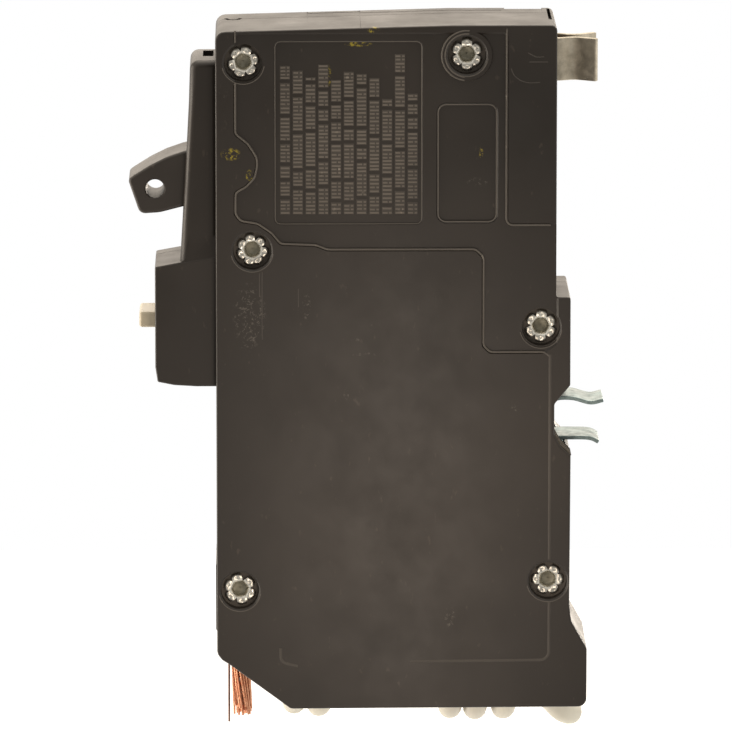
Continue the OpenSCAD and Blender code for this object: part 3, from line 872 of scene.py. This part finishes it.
def make_panel_ridges(material):
    """The thin raised lines that bound the panels, and the rings around the rivets, painted pale as
    highlights on the step edges.
    """
    floor = -HALF_T + RECESS_DEPTH
    lines = [(soft_line(line), 0.31, 0.14, -HALF_T + 0.08) for line in SUNK_RIDGES]
    small = rounded(SMALL_PANEL, 1.2, 5)
    notice = rounded(NOTICE_PANEL, 0.8, 3)
    lines.append((small + small[:1], 0.2, 0.06, floor))
    lines.append((notice + notice[:1], 0.14, 0.04, floor))
    # The lower arcs of the counterbore rims: a painted highlight where light from above catches the
    # rim.
    rim = [-0.15 - k * 0.12 for k in range(24)]
    lines += [(arc(rivet, 3.22, rim), 0.13, 0.04, -HALF_T) for rivet in RIVETS]
    ring = [(1.5 * math.pi - 0.1) - k * math.pi / 16 for k in range(17)]
    lines += [(arc(RIVETS[1], radius, ring), 0.26, 0.1, -HALF_T + 0.02) for radius in (3.78, 3.3)]
    lines.append((arc(RIVETS[0], 3.55, ring[1:9]), 0.3, 0.12, -HALF_T + 0.14))
    return ridge_object("panel_ridges", lines, material)


def make_wells(material):
    """The counterbore floors, painted pale to lift the shade inside the counterbores."""
    rings = []
    for x, z in RIVETS:
        ring = rod("well", (x, -7.85, z), (x, -7.6, z), COUNTERBORE_R + 0.03)
        cut(ring, rod("hole", (x, -9, z), (x, -7, z), BORE_R - 0.05))
        rings.append(ring)
    wells = join("well_floors", rings)
    smooth(wells)
    return finish_piece(wells, "case", material)


def tick_row(rng, x, z0, z1):
    """A row of plain ticks along Z, and the patches of its words; they spell nothing."""
    ticks, patches = [], []
    z = first = z0
    left_in_word = rng.randint(2, 7)
    while z < z1:
        length = rng.uniform(0.5, 0.66)
        if rng.random() < 0.5:
            ticks.append((x - 0.7, x + 0.7, z, z + 0.36))
        else:
            ticks.append((x - 0.7, x + 0.1, z, z + 0.34))
            ticks.append((x + 0.26, x + 0.72, z, z + 0.34))
        z += length
        left_in_word -= 1
        if left_in_word == 0 or z >= z1:
            patches.append((x - 0.8, x + 0.8, first - 0.1, z - 0.05))
        if left_in_word == 0:
            z += 0.5
            first = z
            left_in_word = rng.randint(3, 10)
    return ticks, patches


def low_bar(bar, base, height, slope=0.06):
    """The points and faces of a low bar with sloping sides; bar is its x range and z range."""
    x0, x1, z0, z1 = bar
    points = []
    for y, inset in ((base + 0.05, 0), (base - height, slope)):
        points += [
            (x0 + inset, y, z0 + inset), (x1 - inset, y, z0 + inset),
            (x1 - inset, y, z1 - inset), (x0 + inset, y, z1 - inset)]
    return points, ring_faces(4, 8)


def low_bars(name, bars, height, material):
    """Low bars on the notice's panel, as one piece."""
    base = -HALF_T + RECESS_DEPTH + NOTICE_DEPTH
    thing = closed_object(name, *gathered(low_bar(bar, base, height) for bar in bars))
    return finish_piece(thing, "case", material)


def make_notice(tick_material, patch_material):
    """The molded notice, replaced by rows of plain ticks on low patches."""
    rng = random.Random(7)
    tops = [54.6, 54.1, 52.7, 55.3, 52.5, 53.9, 53.4, 53, 49.2, 56.5, 50.1]
    ticks, patches = [], []
    for row, top in enumerate(tops):
        row_ticks, row_patches = tick_row(rng, -41 + 1.925 * row, 32.2, top)
        ticks += row_ticks
        patches += row_patches
    low_bars("notice_ticks", ticks, 0.13, tick_material)
    low_bars("notice_patches", patches, 0.05, patch_material)


# ---- Rivets ----

# Each profile is a list of (radius, distance towards the near face).
PETAL_PROFILE = [
    (1.1, 7.1), (1.14, 7.7), (1.32, 8.12), (1.7, 8.36), (2.08, 8.32), (2.36, 8.02), (2.42, 7.6)]
# These two are turned about a line along y: (radius, y).
SHANK_PROFILE = [
    (1.48, -6.6), (1.48, 8.6), (2.1, 8.65), (2.32, 8.8), (2.2, 9.05), (1.5, 9.2), (0.4, 9.25),
    (0.05, 9.25)]
CORE_PROFILE = [(1.46, -6.9), (1.2, -7.6), (1.1, -7.4), (1.0, -7.1), (0.6, -6.95), (0.1, -6.9)]


def petal_sheet(middle, turn, half_width, lean):
    """One lobe of a split rivet end, rolled outwards, with the tool's dimple in it."""
    path = curve_through(PETAL_PROFILE, 3)
    across = 8
    points, faces = [], []
    for i, (r, depth) in enumerate(path):
        along = i / (len(path) - 1)
        tip = max(0, (along - 0.45) / 0.55)
        width = half_width * (0.82 + 0.18 * min(1, along / 0.4)) * math.sqrt(1 - 0.88 * tip ** 2)
        for k in range(across + 1):
            t = 2 * k / across - 1
            radial = r - 0.16 * t * t * (1 - along)
            offset = t * width
            dimple = 0.34 * math.exp(-((r - 1.86) ** 2 + offset ** 2) / 0.045)
            rise = depth - 0.2 * t * t * along + lean * along - dimple
            points.append((
                middle[0] + radial * math.cos(turn) - offset * math.sin(turn), -rise,
                middle[1] + radial * math.sin(turn) + offset * math.cos(turn)))
    for i in range(len(path) - 1):
        for k in range(across):
            a = i * (across + 1) + k
            faces.append((a, a + 1, a + across + 2, a + across + 1))
    return points, faces


def join(name, things):
    """Moves the faces of several objects into one."""
    work = bmesh.new()
    for thing in things:
        work.from_mesh(thing.data)
        bpy.data.meshes.remove(thing.data)
    mesh = bpy.data.meshes.new(name)
    work.to_mesh(mesh)
    work.free()
    joined = bpy.data.objects.new(name, mesh)
    bpy.context.collection.objects.link(joined)
    return joined


def make_rivets(material, core_material):
    """Six tubular rivets, each with its split end curled out into petals."""
    rng = random.Random(3)
    parts, cores = [], []
    for number, rivet in enumerate(RIVETS):
        petals = 7 if number == 2 else 6
        sheets = []
        first = rng.uniform(0, 1)
        for k in range(petals):
            turn = 2 * math.pi * (k + first) / petals + rng.uniform(-0.08, 0.08)
            lean = rng.uniform(-0.12, 0.12)
            sheets.append(petal_sheet(rivet, turn, 4.5 / petals, lean))
        points, faces = gathered(sheets)
        crown = mesh_object("crown", [Vector(point) * MM for point in points], faces)
        thick = crown.modifiers.new("thick", "SOLIDIFY")
        thick.thickness = 0.28 * MM
        thick.offset = 0
        apply_modifiers(crown)
        parts += [crown, revolved("shank", SHANK_PROFILE, rivet)]
        cores.append(revolved("core", CORE_PROFILE, rivet))
    rivets = join("split_rivets", parts)
    core = join("rivet_cores", cores)
    smooth(rivets, 50)
    smooth(core, 50)
    finish_piece(core, "case", core_material)
    return finish_piece(rivets, "case", material, ["rivets"])


# ---- Handle, button, jaw and clip ----

LEVER_OUTLINE = [
    (-50, 41.7), (-56.1, 41.2), (-59, 40.2), (-61.4, 39), (-63.8, 37.5), (-64.8, 36.8), (-63, 31.5),
    (-60, 31.7), (-56.5, 32.6), (-50, 34.7)]
LEVER_RADII = [0, 6, 6, 6, 3, 0.8, 1.1, 6, 6, 0]
LEVER_HALF = 4.8
DRUM_PROFILE = [
    (6.4, -LEVER_HALF), (6.78, -4.68), (6.9, -4.4), (6.9, 4.4), (6.78, 4.68), (6.4, LEVER_HALF)]
TIE_HOLE_LEVELS = [(-5.5, 1.62), (-4.8, 1.6), (-4.6, 1.42), (4.6, 1.42), (4.8, 1.6), (5.5, 1.62)]


def make_handle(material):
    """The handle: drum and lever in one molding, with its tie-bar hole."""
    handle = revolved("lever", DRUM_PROFILE, HANDLE_PIVOT, 72)
    lever = prism("grip", rounded(LEVER_OUTLINE, LEVER_RADII, 4), -LEVER_HALF, LEVER_HALF)
    round_face_edge(lever, -1, 0.5)
    round_face_edge(lever, 1, 0.5)
    add(handle, lever)
    hole = lofted("tie_hole", [(y, disc(TIE_HOLE, r, 32)) for y, r in TIE_HOLE_LEVELS])
    x, z = HANDLE_PIVOT
    cut(handle, hole, rod("pin_hole", (x, -8, z), (x, 8, z), 1.55, 32))
    tidy(handle)
    smooth(handle, 30)
    return finish_piece(handle, "handle", material, ["handle"])


def make_button(material):
    button = box("test_key", (-63.2, -4.15, 13.9), (-57.9, 4.15, 16.3))
    bevel(button, 0.45, 4)
    flange = box("flange", (-58.9, -5, 13), (-57.7, 5, 17.2))
    bevel(flange, 0.2)
    key = join("test_key", [button, flange])
    smooth(key, 40)
    return finish_piece(key, "button", material, ["test_button"])


def thick_strip(name, centre, thickness, y0, y1, axis="y"):
    """A bent strip of even thickness about its centre line, as wide as y0..y1 along the axis."""
    pairs = with_across(centre)
    left = [tuple(here + across * thickness / 2) for here, across in pairs]
    right = [tuple(here - across * thickness / 2) for here, across in pairs]
    strip = prism(name, left + right[::-1], y0, y1)
    if axis == "z":
        strip.data.transform(Matrix(((1, 0, 0, 0), (0, 0, 1, 0), (0, 1, 0, 0), (0, 0, 0, 1))))
        face_outwards(strip.data)
    return strip


def curve_through(points, steps):
    """A smooth line through the points (Catmull-Rom)."""
    points = [Vector(p) for p in points]
    ends = [points[0] * 2 - points[1]] + points + [points[-1] * 2 - points[-2]]
    line = []
    for i in range(1, len(ends) - 2):
        p0, p1, p2, p3 = ends[i - 1:i + 3]
        for k in range(steps):
            t = k / steps
            line.append(0.5 * (
                2 * p1 + (p2 - p0) * t + (2 * p0 - 5 * p1 + 4 * p2 - p3) * t * t
                + (3 * p1 - p0 - 3 * p2 + p3) * t ** 3))
    line.append(points[-1])
    return line


def make_jaw_leaf(name, side, node, material):
    """One spring leaf of the line jaw; side is -1 for the near leaf and 1 for the far one."""
    centre = [(-7, 2.5), (-4, 2.5), (-1.5, 2.5), (0.5, 2.3), (1.8, 1.75), (2.8, 1.5),
              (3.8, 1.8), (5, 2.6), (6.2, 3.3)]
    line = [(x, side * y) for x, y in curve_through(centre, 4)]
    leaf = thick_strip(name, line, 0.8, 51.5, 58.05, "z")
    bevel(leaf, 0.14, 2, 50)
    smooth(leaf, 50)
    return finish_piece(leaf, "case", material, [node])


def make_grime(material):
    """Dried dirt on the near molding's slope under the rail clip."""
    slope = [(-0.1, -1.9), (0.76, -3.5), (2.33, -5.02)]
    film = thick_strip("slope_grime", slope, 0.16, -9.3, -4.1)
    return finish_piece(film, "case", material)


def make_clip(material):
    """The mounting rail clip: an arched upper prong, a hooked lower prong and their web."""
    half = 3.8
    upper_line = [(-2.7, 2.2), (-0.5, 2.4), (1, 2.75), (3, 2.67), (5.5, 2.02), (7.45, 2.4)]
    lower_line = [
        (-2.7, -3.4), (0, -3.4), (2.5, -3.4), (4.6, -3.42), (5.8, -3.6), (6.75, -4.1)]
    leg_line = [(-2.7, -6.35), (0.1, -5.8), (1.1, -3.6)]
    pieces = [
        thick_strip("upper", curve_through(upper_line, 5), 0.58, -half, half),
        thick_strip("lower", curve_through(lower_line, 5), 0.58, -half, half),
        box("web", (-3.25, -half, -6.7), (-2.5, half, 2.4)),
        thick_strip("leg", leg_line, 0.6, -half, half)]
    for piece in pieces:
        bevel(piece, 0.12, 2, 50)
    clip = join("rail_hook", pieces)
    smooth(clip, 50)
    return finish_piece(clip, "case", material, ["rail_clip"])


# ---- Pigtail ----

WIRE_R = 1.8
COIL_Y = 24.275
COIL_Z = -39.8
COIL_R = 12.5
LEAD_ROUTE = [
    (-4.2, 8.2, -44.8), (-3.1, 10.4, -46), (-1.5, 13.1, -47.2), (0.3, 16, -48.9),
    (2.1, 19.5, -51.4)]
TAIL_ROUTE = [
    (-41.4, 35.2, -44.4), (-42.4, 36.9, -38.6), (-43.4, 35.2, -33), (-44.4, 30.6, -28.9),
    (-45.4, 24.4, -27.2), (-46.4, 18.2, -28.9), (-47.4, 13.6, -33.3), (-48.2, 11.9, -38.7)]
STRAND_ROOT = Vector((-48.2, 11.9, -37.9))
STRAND_FOOT_Z = -49.9
COIL_FEET = [3.7, -7, -11.4, -15.3, -35.9, -39.8]
COIL_LIFTS = [-0.7, 0.5, 0.4, 0.6, 1.0, 1.8]


def coil_points():
    """The factory coil: five turns about X, each foot at its own place along the case."""
    points = []
    steps = 24
    for turn in range(len(COIL_FEET) - 1):
        for k in range(steps):
            t = k / steps
            ease = t * t * (3 - 2 * t)
            x = COIL_FEET[turn] * (1 - ease) + COIL_FEET[turn + 1] * ease
            z = COIL_Z + COIL_LIFTS[turn] * (1 - ease) + COIL_LIFTS[turn + 1] * ease
            angle = 2 * math.pi * t
            points.append((x, COIL_Y + COIL_R * math.sin(angle), z - COIL_R * math.cos(angle)))
    points.append((COIL_FEET[-1], COIL_Y, COIL_Z + COIL_LIFTS[-1] - COIL_R))
    return points


def tube(name, lines, radius, resolution, materials):
    """Round tubes along lines, in millimetres."""
    curve = bpy.data.curves.new(name, "CURVE")
    curve.dimensions = "3D"
    curve.bevel_depth = radius * MM
    curve.bevel_resolution = resolution
    curve.use_fill_caps = True
    for material in materials:
        curve.materials.append(material)
    for line in lines:
        spline = curve.splines.new("POLY")
        spline.points.add(len(line) - 1)
        for point, here in zip(spline.points, line):
            point.co = (*(here * MM), 1)
    thing = bpy.data.objects.new(name, curve)
    bpy.context.collection.objects.link(thing)
    return thing


def make_pigtail(material, strands):
    """The neutral pigtail from its grommet, through the coil, to its stripped end."""
    line = curve_through(LEAD_ROUTE + coil_points() + TAIL_ROUTE, 4)
    pigtail = tube("pigtail", [line], WIRE_R, 6, [material])
    file_piece(pigtail, "case", ["pigtail_lead", "pigtail_coil", "pigtail_tail"])


def strand_line(place, foot_z, spread, stray):
    """One strand, slightly twisted and spread; the stray one bends off to the handle side."""
    line = []
    for i in range(10):
        t = i / 9
        turn = Matrix.Rotation(0.9 * t, 2) @ Vector(place) * (1 + spread * t)
        x = 0.5 * t + turn.x
        z = (foot_z - STRAND_ROOT.z) * t
        if stray:
            x = place[0] - (1.6 + place[0]) * math.sin(min(1, 3 * t) * math.pi / 2)
            z = -13.2 * t
        line.append(STRAND_ROOT + Vector((x, turn.y, z)))
    return line


def make_strands(material, stray_material):
    """The bare copper strands, still close together, with one tarnished stray."""
    rng = random.Random(11)
    places = [(0, 0)]
    for ring, count in ((0.42, 6), (0.84, 12), (1.24, 18)):
        places += disc((0, 0), ring, count)
    stray = len(places) - 9
    lines = []
    for number, place in enumerate(places):
        foot_z = STRAND_FOOT_Z + rng.uniform(-0.3, 1.3)
        lines.append(strand_line(place, foot_z, rng.uniform(0, 0.22), number == stray))
    strands = tube("bare_strands", lines, 0.17, 2, [material, stray_material])
    strands.data.splines[stray].material_index = 1
    return file_piece(strands, "case", ["pigtail_strands"])


def make_grommet(material):
    start, end = grommet_line(-4, 0.1)
    collar = rod("wire_grommet", start, end, 2.6, 40)
    bevel(collar, 0.35, 3)
    smooth(collar, 40)
    return finish_piece(collar, "case", material, ["pigtail_grommet"])


# ---- Everything together ----


def main():
    make_camera()
    set_colours()
    dress_frame()
    case = molded_phenolic(
        "case_phenolic", (0.0175, 0.0135, 0.01), (0.028, 0.0215, 0.016), marked=True)
    # Pale phenolic: painted highlight on the panel ridges, and painted light on the well floors.
    rub_and_painted_light = molded_phenolic("painted_light_phenolic", (0.082, 0.07, 0.057), (0.13, 0.112, 0.092), 0.5)
    # Pale phenolic: painted highlight on the faint ridges, and the colour of the notice's low
    # patches.
    patch_and_highlight = molded_phenolic("patch_and_highlight_phenolic", (0.05, 0.042, 0.034), (0.078, 0.066, 0.054), 0.5)
    notice = molded_phenolic("rubbed_notice", (0.11, 0.093, 0.075), (0.17, 0.145, 0.117), 0.5)
    grip = molded_phenolic("handle_phenolic", (0.024, 0.019, 0.015), (0.036, 0.029, 0.023))
    jaw = plated_metal("jaw_plate", (0.44, 0.4, 0.32), (0.76, 0.7, 0.58), 0.55, depth=0.03)
    clip = plated_metal("clip_plate", (0.145, 0.185, 0.188), (0.29, 0.375, 0.38), 0.36)
    steel = plated_metal("rivet_plate", (0.62, 0.6, 0.54), (0.9, 0.88, 0.8), 0.3, size=0.8)
    core = plated_metal("rivet_core", (0.24, 0.23, 0.18), (0.36, 0.345, 0.28), 0.6, size=0.8)
    wire = smooth_plastic("wire_cream", (0.42, 0.38, 0.3), (0.56, 0.53, 0.43), 0.42)
    button = smooth_plastic("key_cream", (0.55, 0.48, 0.35), (0.72, 0.65, 0.5), 0.38)
    grime = dried_dirt("dried_dirt", (0.045, 0.037, 0.028), (0.105, 0.09, 0.072))
    rubber = smooth_plastic("grommet_rubber", (0.02, 0.02, 0.02), (0.04, 0.04, 0.04), 0.6)
    copper = plated_metal("strand_metal", (0.62, 0.27, 0.15), (0.84, 0.46, 0.3), 0.3, size=0.5)
    dull_copper = plated_metal("strand_tarnished", (0.16, 0.1, 0.085), (0.26, 0.17, 0.14), 0.4)
    make_molding(-1, case)
    make_molding(1, case)
    make_panel_ridges(rub_and_painted_light)
    make_faint_ridges(patch_and_highlight)
    make_wells(rub_and_painted_light)
    make_notice(notice, patch_and_highlight)
    make_rivets(steel, core)
    make_handle(grip)
    make_button(button)
    make_jaw_leaf("jaw_leaf_near", -1, "line_jaw_near", jaw)
    make_jaw_leaf("jaw_leaf_far", 1, "line_jaw_far", jaw)
    make_clip(clip)
    make_grime(grime)
    make_grommet(rubber)
    make_pigtail(wire, make_strands(copper, dull_copper))
    make_studio()


main()
